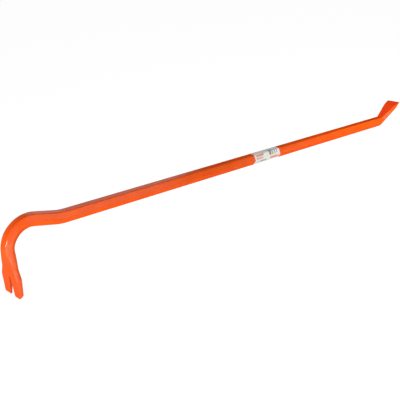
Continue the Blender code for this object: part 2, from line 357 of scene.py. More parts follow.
@dataclass(frozen=True)
class NailSlot:
    """The V-shaped slot in the claw and the relief behind it. up is the height above the claw tips."""

    length: float = 31.0 * MM
    mouth: float = 11.2 * MM
    root_radius: float = 1.5 * MM
    offset: float = -1.4 * MM
    edge_at_mouth: float = 2.2 * MM
    edge_at_root: float = 5.5 * MM
    edge_radius: float = 0.2 * MM
    relief_angle: float = math.radians(25.0)
    relief_runout: float = 10.0 * MM
    relief_blend: float = 0.5 * MM
    ridge_radius: float = 0.3 * MM

    @property
    def centre_up(self) -> float:
        """The height of the round root's centre."""
        return self.length - self.root_radius

    @property
    def flank(self) -> float:
        """The lean of each wall: the line from the mouth's corner that touches the root's circle."""
        reach = math.hypot(self.mouth / 2, self.centre_up)
        return math.atan2(self.mouth / 2, self.centre_up) - math.asin(self.root_radius / reach)

    def wall(self, up: np.ndarray, arc_points: int, flare: np.ndarray) -> np.ndarray:
        """The slot's edge as seen square to the claw: up one wall, round the root, down the other.

        Args:
            up: heights of the points on each wall, below where the root's circle begins.
            arc_points: points on the root, its two ends among them.
            flare: how far each point on a wall is pushed out by the rounding of the tips.

        Returns:
            Across and up distances, as points by 2, from the near wall's mouth.
        """
        spread = math.pi / 2 - self.flank
        touch_up = self.centre_up + self.root_radius * math.cos(spread)
        across = blend(self.mouth / 2, self.root_radius * math.sin(spread), up / touch_up) + flare
        angle = np.linspace(-spread, spread, arc_points)
        arc_across = self.root_radius * np.sin(angle)
        arc_up = self.centre_up + self.root_radius * np.cos(angle)
        return np.stack(
            [
                np.concatenate([-across, arc_across, across[::-1]]) + self.offset,
                np.concatenate([up, arc_up, up[::-1]]),
            ],
            axis=-1,
        )

    def relief(self, across: np.ndarray, up: np.ndarray, claw: Claw, half: np.ndarray) -> np.ndarray:
        """The claw's inner face: flat, or the relief's two slopes where they lie nearer the outer face.

        The slopes rise from a ridge line that runs straight from the mouth to the root, and then
        straight out through the inner face.

        Args:
            across: distances across the claw.
            up: heights above the claw tips.
            claw: the claw that the slot is in.
            half: half the claw's thickness at each point.

        Returns:
            The distance of the inner face behind the path.
        """
        slope = math.tan(self.relief_angle)
        at_mouth = self.edge_at_mouth - claw.half_thickness(0.0) - slope * self.mouth / 2
        at_root = self.edge_at_root - claw.half_thickness(self.length) - slope * self.root_radius
        at_run_out = claw.half_thickness(self.length + self.relief_runout)
        past_root = (at_run_out - at_root) / self.relief_runout
        ridge = np.where(
            up < self.length,
            at_mouth + (at_root - at_mouth) * up / self.length,
            at_root + past_root * (up - self.length),
        )
        aside = np.hypot(across - self.offset, self.ridge_radius) - self.ridge_radius
        return soft_minimum(half, ridge + slope * aside, self.relief_blend)


@dataclass(frozen=True)
class Gooseneck:
    """The bar's path in its own plane, from the claw tips to the chisel's edge."""

    claw: Claw
    blade: Blade
    stock: HexStock
    overall: float = 999.98 * MM
    hook_radius: float = 37.4 * MM
    hook_drawn_down: float = 0.96
    hook_twist: float = math.radians(13.0)
    hook_corner: float = 5.5 * MM
    worked_share: float = 0.45
    claw_lean: float = math.radians(2.6)
    neck_rise: float = math.radians(12.0)
    neck_straight: float = 33.6 * MM
    neck_radius: float = 90.0 * MM

    # Places in the hook's bend at which its reach is measured
    REACH_STEPS = 721

    @property
    def hook_turn(self) -> float:
        """The angle that the hook turns through."""
        return math.pi / 2 + self.claw_lean + self.neck_rise

    @property
    def hook_length(self) -> float:
        """The path's length through the hook."""
        return self.hook_radius * self.hook_turn

    @property
    def neck_length(self) -> float:
        """The path's length through the bend from the neck into the shank."""
        return self.neck_radius * self.neck_rise

    @property
    def before_shank(self) -> float:
        """The path's length from the claw tips to the shank."""
        return self.claw.length + self.hook_length + self.neck_straight + self.neck_length

    @property
    def shank_length(self) -> float:
        """The overall length, less the reaches of the hook, of the chisel's bend and of its blade.

        Returns:
            The shank's length.
        """
        distance = self.claw.length + np.linspace(0.0, self.hook_length, self.REACH_STEPS)
        x, _, heading = self.trace(distance, shank=0.0)
        start = self.trace(np.array([self.before_shank]), shank=0.0)[0][0]
        hook_reach = float(np.max(start - x + self.hook_sections(distance).half * np.sin(heading)))
        bend_reach = self.blade.bend_radius * math.sin(self.blade.angle)
        blade_reach = self.blade.length * math.cos(self.blade.angle)
        return self.overall - hook_reach - bend_reach - blade_reach

    def hook_sections(self, distance: np.ndarray) -> Sections:
        """The stock's sections, drawn down, twisted and worn rounder towards the claw's end of the hook.

        The size grows in a straight line through the hook. Twist and wear are full at its start and
        fade along a smooth step over a share of it.

        Args:
            distance: distances from the claw tips.

        Returns:
            The sections, which are the plain stock's beyond the hook.
        """
        share = np.clip((distance - self.claw.length) / self.hook_length, 0.0, 1.0)
        plain = self.stock.sections(blend(self.hook_drawn_down, 1.0, share))
        worked = 1.0 - smooth_step(share / self.worked_share)
        radius = blend(plain.radius, self.hook_corner, worked)
        return replace(plain, radius=radius, roll=plain.roll + self.hook_twist * worked)

    def runs(self, shank: float) -> list[Span]:
        """The path's straight and circular runs, from the claw tips on.

        Args:
            shank: the length of the straight shank.

        Returns:
            The length and the turn of each run.
        """
        return [
            (self.claw.length, 0.0),
            (self.hook_length, -self.hook_turn),
            (self.neck_straight, 0.0),
            (self.neck_length, self.neck_rise),
            (shank, 0.0),
            (self.blade.bend_length, self.blade.angle),
            (self.blade.length, 0.0),
        ]

    def trace(self, distance: np.ndarray, shank: float) -> tuple[np.ndarray, np.ndarray, np.ndarray]:
        """Follows the path: each run starts where the chords of those before it have led.

        Args:
            distance: distances from the claw tips.
            shank: the length of the straight shank.

        Returns:
            x, z and heading at each distance, with the claw tips at the origin.
        """
        lengths, turns = np.array(self.runs(shank)).T
        starts = np.cumsum(lengths) - lengths
        headings = math.pi / 2 + self.claw_lean + np.cumsum(turns) - turns
        bends = np.divide(turns, lengths, out=np.zeros_like(turns), where=lengths > 0.0)
        chords = chord(headings, bends, lengths)
        run = np.maximum(np.searchsorted(starts, distance, side="right") - 1, 0)
        step = distance - starts[run]
        corners = np.cumsum(chords, axis=1) - chords
        x, z = corners[:, run] + chord(headings[run], bends[run], step)
        return x, z, headings[run] + bends[run] * step


@dataclass
class Surface:
    """A mesh in the making: patches of quads and end faces, welded where they meet."""

    points: list[np.ndarray] = field(default_factory=list)
    faces: list[tuple[int, ...]] = field(default_factory=list)
    count: int = 0

    # Points of neighbouring patches this close are one point
    WELD = 2e-6

    def add_grid(self, grid: np.ndarray, closed: bool = False) -> np.ndarray:
        """Adds a patch of quads between the points of a grid.

        Args:
            grid: points as rows by columns by 3.
            closed: whether the last column joins back to the first.

        Returns:
            The points' numbers, as rows by columns.
        """
        rows, columns = grid.shape[:2]
        index = np.arange(rows * columns).reshape(rows, columns) + self.count
        wrapped = np.concatenate([index, index[:, :1]], axis=1) if closed else index
        quads = np.stack([wrapped[:-1, :-1], wrapped[:-1, 1:], wrapped[1:, 1:], wrapped[1:, :-1]], axis=-1)
        self.points.append(grid.reshape(-1, 3))
        self.faces += [tuple(quad) for quad in quads.reshape(-1, 4).tolist()]
        self.count += rows * columns
        return index

    def add_end(self, loop: np.ndarray) -> None:
        """Closes an end with one flat face through numbered points."""
        self.faces.append(tuple(int(number) for number in loop))

    def to_mesh(self, name: str, placement: Matrix, weld: bool = True) -> bpy.types.Mesh:
        """Welds the patches, turns every face outwards and places the mesh.

        Args:
            name: the mesh's name.
            placement: where the points go in the row frame.
            weld: whether points that lie on each other become one.

        Returns:
            The closed mesh, shaded smooth.
        """
        mesh = bpy.data.meshes.new(name)
        mesh.from_pydata(np.concatenate(self.points).tolist(), [], self.faces)
        shape = bmesh.new()
        shape.from_mesh(mesh)
        if weld:
            bmesh.ops.remove_doubles(shape, verts=shape.verts, dist=self.WELD)
        bmesh.ops.recalc_face_normals(shape, faces=shape.faces)
        shape.transform(placement)
        shape.to_mesh(mesh)
        shape.free()
        mesh.shade_smooth()
        weigh_normals(mesh)
        return mesh


def read_values(items: bpy.types.bpy_prop_collection, name: str, kind: type, size: int = 1) -> np.ndarray:
    """Reads one property of a mesh's corners or faces.

    Args:
        items: the corners or the faces.
        name: the property.
        kind: the type of its numbers.
        size: how many numbers it has.

    Returns:
        The numbers, as items by size.
    """
    values = np.zeros(len(items) * size, dtype=kind)
    items.foreach_get(name, values)
    return values.reshape(-1, size)


def weigh_normals(mesh: bpy.types.Mesh) -> None:
    """Gives each point the mean normal of its faces, weighed by area, so that broad flats stay flat.

    Args:
        mesh: the mesh whose points get them.
    """
    areas = read_values(mesh.polygons, "area", float)
    weighed = read_values(mesh.polygons, "normal", float, 3) * areas
    sizes = read_values(mesh.polygons, "loop_total", int)[:, 0]
    corners = read_values(mesh.loops, "vertex_index", int)[:, 0]
    total = np.zeros((len(mesh.vertices), 3))
    np.add.at(total, corners, np.repeat(weighed, sizes, axis=0))
    mesh.normals_split_custom_set_from_vertices(unit(total).tolist())


@dataclass
class ForgedBar:
    """The whole forging: claw, slot, hook, neck, shank and chisel in one closed surface."""

    stock: HexStock = field(default_factory=HexStock)
    claw: Claw = field(default_factory=Claw)
    blade: Blade = field(default_factory=Blade)
    slot: NailSlot = field(default_factory=NailSlot)
    corner_steps: int = 8
    flat_points: int = 7
    wall_points: int = 25
    face_points: int = 14
    edge_steps: int = 5
    wall_rows: int = 6
    shank_spacing: float = 6.0 * MM
    forged_spacing: float = 1.0 * MM
    degrees_per_ring: float = 1.5
    crease_width: float = 0.5 * MM
    above_rows: int = 7

    # Rings closer together than this are one, and their distances are kept to so many decimals
    SAME_RING = 5e-6
    RING_DECIMALS = 7

    def __post_init__(self) -> None:
        """Lays the path and measures the shank once."""
        self.path = Gooseneck(self.claw, self.blade, self.stock)
        self.shank = self.path.shank_length

    @property
    def total(self) -> float:
        """The path's length from the claw tips to the chisel's edge."""
        return sum(length for length, _ in self.path.runs(self.shank))

    @property
    def edge_rows(self) -> np.ndarray:
        """Shares of a radius at which a rounded edge has its rows, closest at the edge."""
        return 1.0 - np.cos(np.linspace(0.0, math.pi / 2, self.edge_steps))

    @property
    def blade_from(self) -> float:
        """The distance from the claw tips at which the chisel's bend ends."""
        return self.total - self.blade.length

    def sections(self, distance: np.ndarray) -> Sections:
        """The whole bar's sections, each run's by its own rule.

        Args:
            distance: distances from the claw tips.

        Returns:
            The sections.
        """
        stock = self.path.hook_sections(distance)
        into_blade = np.maximum(distance - self.blade_from, -self.blade.bend_length)
        parts = [
            self.claw.sections(stock, self.claw.length - distance),
            stock,
            self.blade.sections(self.stock, into_blade),
        ]
        which = np.where(distance < self.claw.length + self.claw.run_in, 0, 1)
        which = np.where(distance > self.blade_from - self.blade.bend_length, 2, which)
        names = ("half", "flat", "middle", "radius", "roll")
        return Sections(*(np.choose(which, [getattr(part, name) for part in parts]) for name in names))

    def place(self, distance: np.ndarray, across: np.ndarray, out: np.ndarray) -> np.ndarray:
        """Points in the bar's own plane, moved from the path square to its heading.

        Args:
            distance: distances along the path from the claw tips.
            across: distances across it, away from the viewer.
            out: distances out from it, to the hook's outside.

        Returns:
            The points, in the shape that the three make together by 3.
        """
        shape = np.broadcast(distance, across, out).shape
        spread = np.broadcast_to(distance, shape).reshape(-1)
        x, z, heading = (part.reshape(shape) for part in self.path.trace(spread, self.shank))
        return np.stack([x - out * np.sin(heading), across + 0.0 * x, z + out * np.cos(heading)], axis=-1)

    def place_on_claw(self, up: np.ndarray, across: np.ndarray, out: np.ndarray) -> np.ndarray:
        """Points on the claw, with the tips bevelled back from the outer face to the inner one.

        A point is pulled up by the bevel's height times its share of the way to the inner face. The
        pull fades in a straight line from the tips' chamfer to the shoulders.

        Args:
            up: heights above the claw tips.
            across: distances across the claw.
            out: distances out from the path.

        Returns:
            The points in the bar's own plane.
        """
        half, shoulder_up = self.claw.half_thickness(up), self.claw.shoulder_up
        fade = np.clip((shoulder_up - up) / (shoulder_up - self.claw.tip_chamfer), 0.0, 1.0)
        pull = self.claw.tip_bevel * fade * np.clip((half - out) / (2 * half), 0.0, 1.0)
        return self.place(up + pull, across, out)

    def claw_heights(self) -> np.ndarray:
        """Heights of the claw's rows: close at the rounded tips, then even to the shoulders and above.

        Returns:
            Heights above the claw tips.
        """
        even_steps = self.wall_points - self.edge_steps
        even = np.linspace(self.claw.tip_chamfer, self.claw.shoulder_up, even_steps)
        above = np.linspace(self.claw.shoulder_up, self.claw.flattened_up, self.above_rows + 1)
        return np.concatenate([self.claw.tip_edge_radius * self.edge_rows, even, above[1:]])

    def face_height(self, side: Side, across: np.ndarray, up: np.ndarray, edge: np.ndarray) -> np.ndarray:
        """A face of the claw: half its thickness or the relief, less the rounding of the edges.

        Args:
            side: which face.
            across: distances across the claw.
            up: heights above the claw tips.
            edge: distances from the slot's edge.

        Returns:
            Distances out from the path, negative on the inner face.
        """
        half = self.claw.half_thickness(up)
        fall = round_over(up, self.claw.tip_edge_radius) + round_over(edge, self.slot.edge_radius)
        if side is Side.INNER:
            half = self.slot.relief(across, up, self.claw, half)
        return side.value * (half - fall)

    def face_patch(self, side: Side, inner: np.ndarray, outer: np.ndarray) -> np.ndarray:
        """One face of the claw: straight lines from the slot's edge to the rim of the claw.

        The first points of each line lie close together, on the rounding of the slot's edge.

        Args:
            side: which face.
            inner: points on the slot's edge, across and up.
            outer: the rim's points that they are joined to.

        Returns:
            The patch, as edge points by points along each line by 3.
        """
        gap = np.linalg.norm(outer - inner, axis=-1)[:, None]
        close = self.slot.edge_radius * self.edge_rows[None, :] / gap
        left = np.linspace(0.0, 1.0, self.face_points)[None, 1:]
        share = np.concatenate([close, close[:, -1:] + (1.0 - close[:, -1:]) * left], axis=1)
        spots = inner[:, None] + (outer - inner)[:, None] * share[..., None]
        across, up = spots[..., 0], spots[..., 1]
        return self.place_on_claw(up, across, self.face_height(side, across, up, share * gap))

    def add_claw(self, surface: Surface) -> None:
        """The claw up to where the forging starts to flatten: two faces, two sides, the slot's wall.

        Args:
            surface: what they are added to.
        """
        up = self.claw_heights()
        inset = round_over(up, self.claw.tip_edge_radius)
        ring = self.sections(up).shrunk(inset).outline(self.corner_steps, self.flat_points)
        side_points = 3 * self.corner_steps
        cuts = np.cumsum([side_points, self.flat_points, side_points])
        near, lower_flat, far, upper_flat = np.split(ring, cuts, axis=1)
        strips = []
        for strip in (near, far):
            grid = self.place_on_claw(up[:, None], strip[..., 0], strip[..., 1])
            strips.append(surface.add_grid(grid))

        def rim(first: np.ndarray, top: np.ndarray, last: np.ndarray) -> np.ndarray:
            """A face's rim, across and up: up one side, across the top and down the other side."""
            height = np.concatenate([up, np.full(len(top), up[-1]), up[::-1]])
            return np.stack([np.concatenate([first, top, last[::-1]]), height], axis=-1)

        walled = slice(0, self.wall_points)
        arc_points = 2 * len(up) + self.flat_points - 2 * self.wall_points
        edge = self.slot.wall(up[walled], arc_points, inset[walled])
        rims = {
            Side.OUTER: rim(near[:, 0, 0], upper_flat[-1, ::-1, 0], far[:, -1, 0]),
            Side.INNER: rim(near[:, -1, 0], lower_flat[-1, :, 0], far[:, 0, 0]),
        }
        faces = {side: surface.add_grid(self.face_patch(side, edge, rims[side])) for side in Side}
        lips = [self.face_height(side, *edge.T, np.zeros(len(edge)))[:, None] for side in Side]
        out = blend(*lips, np.linspace(0.0, 1.0, self.wall_rows)[None, :])
        wall = surface.add_grid(self.place_on_claw(edge[:, 1:], edge[:, :1], out))
        for strip, end, way in zip(strips, (0, -1), (1, -1)):
            outer, inner = (faces[side][end] for side in Side)
            loop = [outer[:-1], strip[0][::way], inner[-2::-1], wall[end][-2:0:-1]]
            surface.add_end(np.concatenate(loop))

    def ring_distances(self) -> np.ndarray:
        """Distances of the rings above the claw: even in each run, close in the bends and creases.

        A run has as many rings as its length holds spacings, and a bend one to each few degrees.

        Returns:
            Distances from the claw tips, in order.
        """
        lowest = self.claw.flattened_up
        marks = [lowest]
        runs = self.path.runs(self.shank)
        start = 0.0
        for number, (length, turn) in enumerate(runs):
            end = start + length
            spacing = self.forged_spacing if number in (0, len(runs) - 1) else self.shank_spacing
            count = math.ceil(length / spacing)
            if turn:
                count = math.ceil(math.degrees(abs(turn)) / self.degrees_per_ring)
            marks += [mark for mark in np.linspace(start, end, count + 1).tolist() if mark > lowest]
            start = end
        bevel_at = self.total - self.blade.bevel
        flat_at = self.blade_from + self.blade.flattened_at
        for crease in (bevel_at, flat_at):
            marks += [crease - self.crease_width, crease, crease + self.crease_width]
        marks += (self.total - self.blade.edge_rounding * self.edge_rows).tolist()
        in_order = np.unique(np.round(marks, self.RING_DECIMALS))
        return in_order[np.concatenate([[True], np.diff(in_order) > self.SAME_RING])]

    def add_sweep(self, surface: Surface) -> None:
        """The rest of the bar: rings of the section carried along the path, closed at the edge.

        Args:
            surface: what they are added to.
        """
        distance = self.ring_distances()
        inset = round_over(self.total - distance, self.blade.edge_rounding)
        ring = self.sections(distance).shrunk(inset).outline(self.corner_steps, self.flat_points)
        grid = self.place(distance[:, None], ring[..., 0], ring[..., 1])
        index = surface.add_grid(grid, closed=True)
        surface.add_end(index[-1])

    def stance(self, points: np.ndarray) -> Matrix:
        """The lean that brings the lowest tip and the heel to one level, and the shift to the origin.

        The lean is the least angle at which the tip sees any point of the bar's far half.

        Args:
            points: all points of the bar in its own plane, as points by 3.

        Returns:
            The placement in the row frame.
        """
        tip = points[np.argmin(points[:, 2])]
        far_half = points[points[:, 0] > points[:, 0].mean()]
        lean = float(np.arctan2(far_half[:, 2] - tip[2], far_half[:, 0] - tip[0]).min())
        turn = Matrix.Rotation(lean, 4, "Y")
        turned = points @ np.array(turn.to_3x3()).T
        low, high = turned.min(axis=0), turned.max(axis=0)
        shift = Vector((-(low[0] + high[0]) / 2, -(low[1] + high[1]) / 2, -low[2]))
        return Matrix.Translation(shift) @ turn

    def build(self, paint: bpy.types.Material) -> Matrix:
        """Adds the painted bar to the scene.

        Args:
            paint: the paint that covers it.

        Returns:
            The placement of the bar's own plane in the row frame.
        """
        surface = Surface()
        self.add_claw(surface)
        self.add_sweep(surface)
        placement = self.stance(np.concatenate(surface.points))
        bar = add_piece("painted_bar", surface.to_mesh("painted_bar", placement), paint)
        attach(bar, "root")
        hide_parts("forged_bar")
        return placement


@dataclass
class WrapLabel:
    """The printed film wrapped once round the shank, with its end lapped over its start at the back."""

    bar: ForgedBar
    from_neck: float = 406.6 * MM
    length: float = 70.0 * MM
    film: float = 0.12 * MM
    glue: float = 0.03 * MM
    lap: float = 3.2 * MM
    ramp: float = 0.8 * MM
    rows: int = 40
    corner_steps: int = 10
    ramp_points: int = 5

    # The seam lies on the flat before this corner of the outline, the one at the back
    SEAM_CORNER = 4

    @property
    def start(self) -> float:
        """The distance from the claw tips at which the film begins."""
        return self.bar.path.before_shank + self.from_neck

    def wrap(self) -> tuple[np.ndarray, np.ndarray, np.ndarray]:
        """The film's two faces across the bar, from its glued start round to its lapped end.

        The stock's outline is grown by the glue for the under face, and by the film too for the
        upper one. Places round it are counted in its points, and the film starts in the middle of the
        lower flat at the back. Where its end laps over its start it rises by the thickness of film and
        glue, along a curve of three shares squared less two shares cubed.

        Returns:
            The upper and the under face, as points by 2, and the share of the way round at each.
        """
        one = np.ones(1)
        low = self.bar.stock.sections(one, self.glue).outline(self.corner_steps, 0)[0]
        high = self.bar.stock.sections(one, self.glue + self.film).outline(self.corner_steps, 0)[0]
        count = len(low)
        corner = self.SEAM_CORNER * self.corner_steps
        flat_length = float(np.linalg.norm(low[corner] - low[corner - 1]))
        begin = corner - 0.5
        turn_end = begin + count
        ramp = self.ramp / flat_length
        whole = np.arange(corner, corner + count)
        rise = np.linspace(turn_end - ramp, turn_end, self.ramp_points)
        place = np.concatenate([[begin], whole, rise, [turn_end + self.lap / flat_length]])
        lifted = smooth_step((place - (turn_end - ramp)) / ramp)
        spot, numbers = np.mod(place, count), np.arange(count + 1)

        def around(outline: np.ndarray) -> np.ndarray:
            """The outline at fractional counts, on straight lines between its points."""
            lines = np.concatenate([outline, outline[:1]]).T
            return np.stack([np.interp(spot, numbers, line) for line in lines], axis=-1)

        under = around(low)
        step = around(high) - under
        under = under + unit(step) * (lifted * (self.film + self.glue))[:, None]
        upper = under + step
        run = np.concatenate([[0.0], np.cumsum(np.linalg.norm(np.diff(upper, axis=0), axis=-1))])
        return upper, under, run / run[-1]

    def build(self, placement: Matrix, film: bpy.types.Material) -> None:
        """Adds the label to the scene, a thin closed shell with a map of its print.

        Args:
            placement: the placement of the bar's own plane in the row frame.
            film: the printed film.
        """
        upper, under, round_share = self.wrap()
        along_share = np.linspace(0.0, 1.0, self.rows)
        along = (self.start + self.length * along_share)[:, None]
        surface = Surface()
        loops = []
        for layer in (upper, under):
            index = surface.add_grid(self.bar.place(along, layer[None, :, 0], layer[None, :, 1]))
            sides = [index[0], index[1:, -1], index[-1, -2::-1], index[-2:0:-1, 0]]
            loops.append(np.concatenate(sides))
        high, low = loops
        for corners in np.stack([high, np.roll(high, -1), np.roll(low, -1), low], axis=-1):
            surface.add_end(corners)
        mesh = surface.to_mesh("wrapped_film", placement, weld=False)
        label = add_piece("wrapped_film", mesh, film)
        spots = np.stack(np.meshgrid(along_share, round_share, indexing="ij"), axis=-1).reshape(-1, 2)
        self.map_print(mesh, np.concatenate([spots, spots]))
        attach(label, "root")
        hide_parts("wrap_label")

    def map_print(self, mesh: bpy.types.Mesh, spots: np.ndarray) -> None:
        """Writes the print's map: the share along the label and the share round it.

        Args:
            mesh: the label's mesh.
            spots: the two shares at each of its points, as points by 2.
        """
        corners = read_values(mesh.loops, "vertex_index", int)[:, 0]
        mesh.uv_layers.new(name=PRINT_MAP)
        mesh.uv_layers[PRINT_MAP].data.foreach_set("uv", spots[corners].reshape(-1))


def add_object(name: str, data: bpy.types.ID) -> bpy.types.Object:
    """Puts a mesh, a lamp or a camera in the scene, at the origin.

    Args:
        name: its name.
        data: the mesh, the lamp or the camera.

    Returns:
        The object that shows it.
    """
    shown = bpy.data.objects.new(name, data)
    bpy.context.scene.collection.objects.link(shown)
    return shown


def add_piece(name: str, mesh: bpy.types.Mesh, material: bpy.types.Material) -> bpy.types.Object:
    """Puts a mesh with its finish in the scene.

    Args:
        name: the piece's name.
        mesh: its mesh, with its place in it.
        material: what it is finished with.

    Returns:
        The piece.
    """
    mesh.materials.append(material)
    LOG.info("%s: %d points, %d faces", name, len(mesh.vertices), len(mesh.polygons))
    return add_object(name, mesh)


class NodeSheet:
    """The nodes of a material or a world, wired one after another."""

    # Sockets of the Mix node, where those for numbers come before those for colours
    MIX_SHARE, MIX_FIRST, MIX_SECOND, MIX_RESULT = 0, 6, 7, 2

    def __init__(self, owner: bpy.types.Material | bpy.types.World) -> None:
        """Starts with only an output.

        Args:
            owner: the material or the world.
        """
        owner.use_nodes = True
        self.owner = owner
        self.tree = owner.node_tree
        self.tree.nodes.clear()
        self.output = self.add("OutputWorld" if isinstance(owner, bpy.types.World) else "OutputMaterial")

    def put(self, value: Feed, target: Socket) -> None:
        """Wires a socket to another, or sets a plain value on it.

        Args:
            value: the socket or the value.
            target: the socket that takes it.
        """
        if isinstance(value, Socket):
            self.tree.links.new(value, target)
        else:
            target.default_value = value

    def add(self, kind: str, feeds: Feeds | None = None, **settings: object) -> bpy.types.Node:
        """A new node.

        Args:
            kind: the node's kind.
            feeds: what goes into its sockets, by their names or numbers.
            settings: its other settings.

        Returns:
            The node.
        """
        node = self.tree.nodes.new("ShaderNode" + kind)
        for name, value in settings.items():
            setattr(node, name, value)
        for socket, value in (feeds or {}).items():
            self.put(value, node.inputs[socket])
        return node

    @cached_property
    def place(self) -> Socket:
        """Places in Object coordinates, which are the row frame's."""
        return self.add("TexCoord").outputs["Object"]

    @cached_property
    def spot(self) -> bpy.types.bpy_prop_collection:
        """The X, Y and Z of those places."""
        return self.split(self.place)

    @cached_property
    def rays(self) -> bpy.types.bpy_prop_collection:
        """The kinds of rays: each is 1 for rays of its kind and 0 for the rest."""
        return self.add("LightPath").outputs

    @cached_property
    def seen(self) -> Socket:
        """1 for the rays of the camera and those through glass, and 0 for the rest."""
        return self.math("MAXIMUM", self.rays["Is Camera Ray"], self.rays["Is Transmission Ray"])

    def math(self, operation: str, *values: Feed) -> Socket:
        """The result of an operation on one to three numbers."""
        return self.add("Math", dict(enumerate(values)), operation=operation).outputs[0]

    def product(self, *values: Feed) -> Socket:
        """Two or more numbers multiplied together."""
        return reduce(lambda first, second: self.math("MULTIPLY", first, second), values)

    def split(self, vector: Socket) -> bpy.types.bpy_prop_collection:
        """The X, Y and Z of a vector."""
        return self.add("SeparateXYZ", {0: vector}).outputs

    def spread(self, value: Socket, bounds: Span, low: float = 0.0, high: float = 1.0) -> Socket:
        """Carries a number from one range to another, along three shares squared less two cubed.

        Args:
            value: the number.
            bounds: the range that it is in, past which it is held.
            low: what the first bound becomes.
            high: what the second bound becomes.

        Returns:
            The result's socket.
        """
        start, end = bounds
        feeds = {"Value": value, "From Min": start, "From Max": end, "To Min": low, "To Max": high}
        return self.add("MapRange", feeds, interpolation_type="SMOOTHSTEP").outputs["Result"]

    def noise(self, scale: float, detail: float) -> Socket:
        """A cloudy pattern between 0 and 1."""
        return self.add("TexNoise", {"Vector": self.place, "Scale": scale, "Detail": detail}).outputs[0]

    def mix(self, share: Socket, first: Feed, second: Feed) -> Socket:
        """The first colour changed to the second by a share."""
        feeds = {self.MIX_SHARE: share, self.MIX_FIRST: first, self.MIX_SECOND: second}
        return self.add("Mix", feeds, data_type="RGBA").outputs[self.MIX_RESULT]

    def relief(self, height: Socket, distance: float, beneath: Socket | None = None) -> Socket:
        """Normals tilted as a relief would tilt them.

        Args:
            height: the relief's height, between 0 and 1.
            distance: what a height of 1 stands for.
            beneath: the normals of a relief that this one lies on.

        Returns:
            The normals' socket.
        """
        bump = self.add("Bump", {"Strength": 1.0, "Distance": distance, "Height": height})
        if beneath is not None:
            self.put(beneath, bump.inputs["Normal"])
        return bump.outputs["Normal"]

    def finish(self, shader: bpy.types.Node) -> bpy.types.Material | bpy.types.World:
        """Wires a shader to the output, and gives back the owner."""
        self.put(shader.outputs[0], self.output.inputs["Surface"])
        return self.owner


